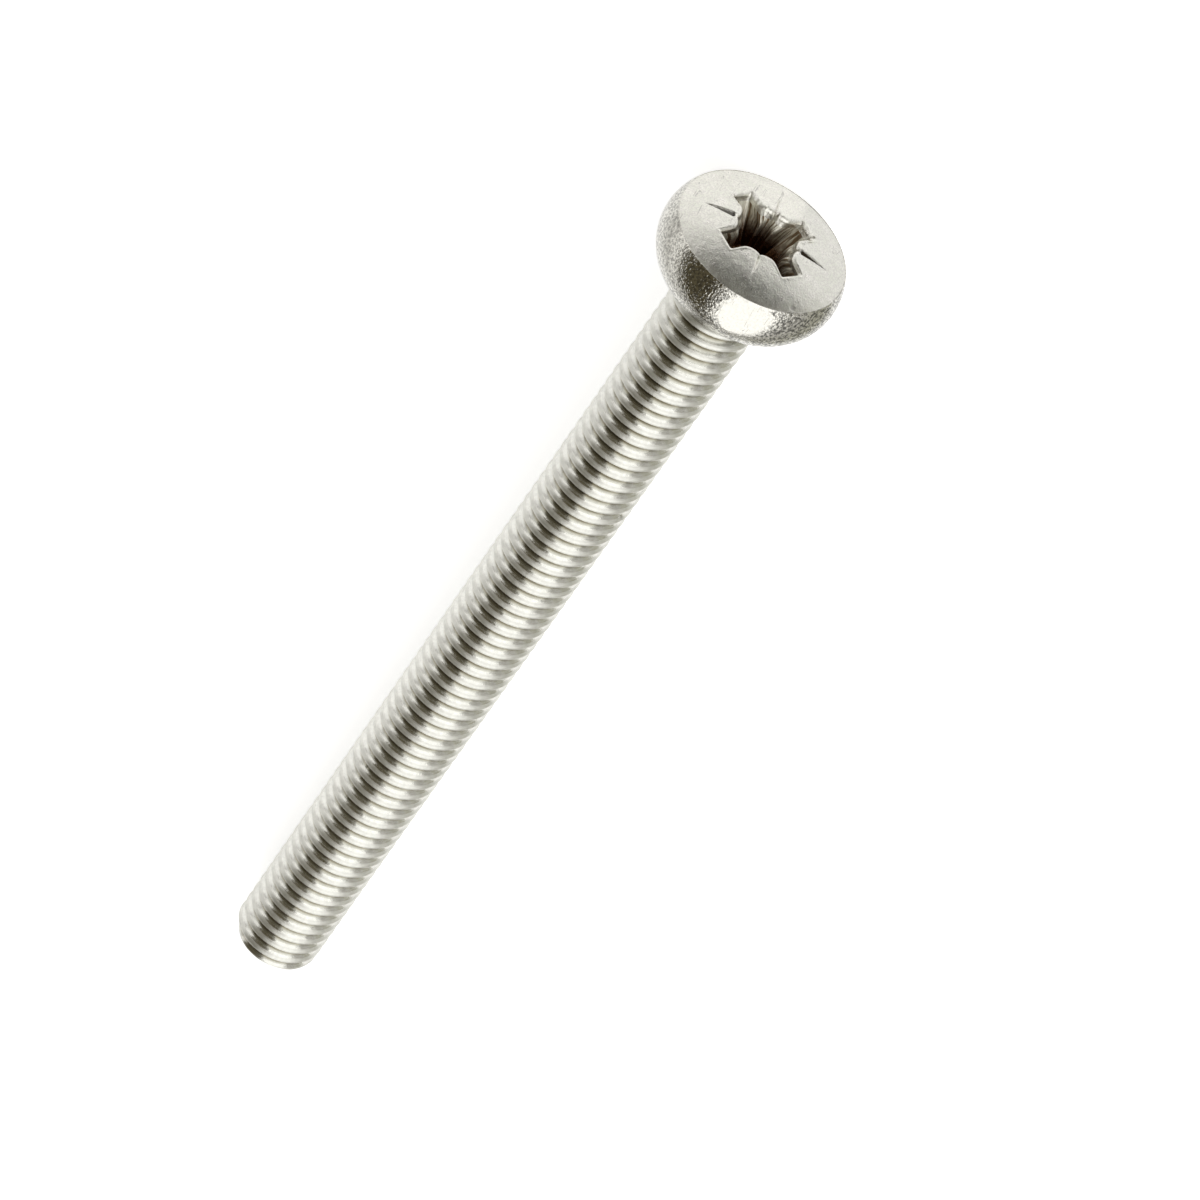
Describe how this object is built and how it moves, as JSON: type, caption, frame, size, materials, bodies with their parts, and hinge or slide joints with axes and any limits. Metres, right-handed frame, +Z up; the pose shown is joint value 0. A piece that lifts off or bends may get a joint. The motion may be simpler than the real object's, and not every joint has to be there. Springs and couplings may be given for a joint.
{
  "type": "machine screw",
  "caption": "Fully threaded M4 x 45 pan head machine screw with a type Z cross recess, lying on its side.",
  "frame": {"origin": "on the surface that the screw lies on, under the middle of its box", "axes": "+X along the screw's length towards its head, +Z up; the screw's own axis rises 2.5 degrees towards the head, because the head is wider than the thread"},
  "size_m": [0.0481, 0.008, 0.008],
  "materials": {
    "stainless_steel": "plain stainless steel, satin crown, grainy rolled side and bright thread"
  },
  "bodies": {
    "root": {"machine_screw": "stainless_steel"}
  },
  "joints": []
}
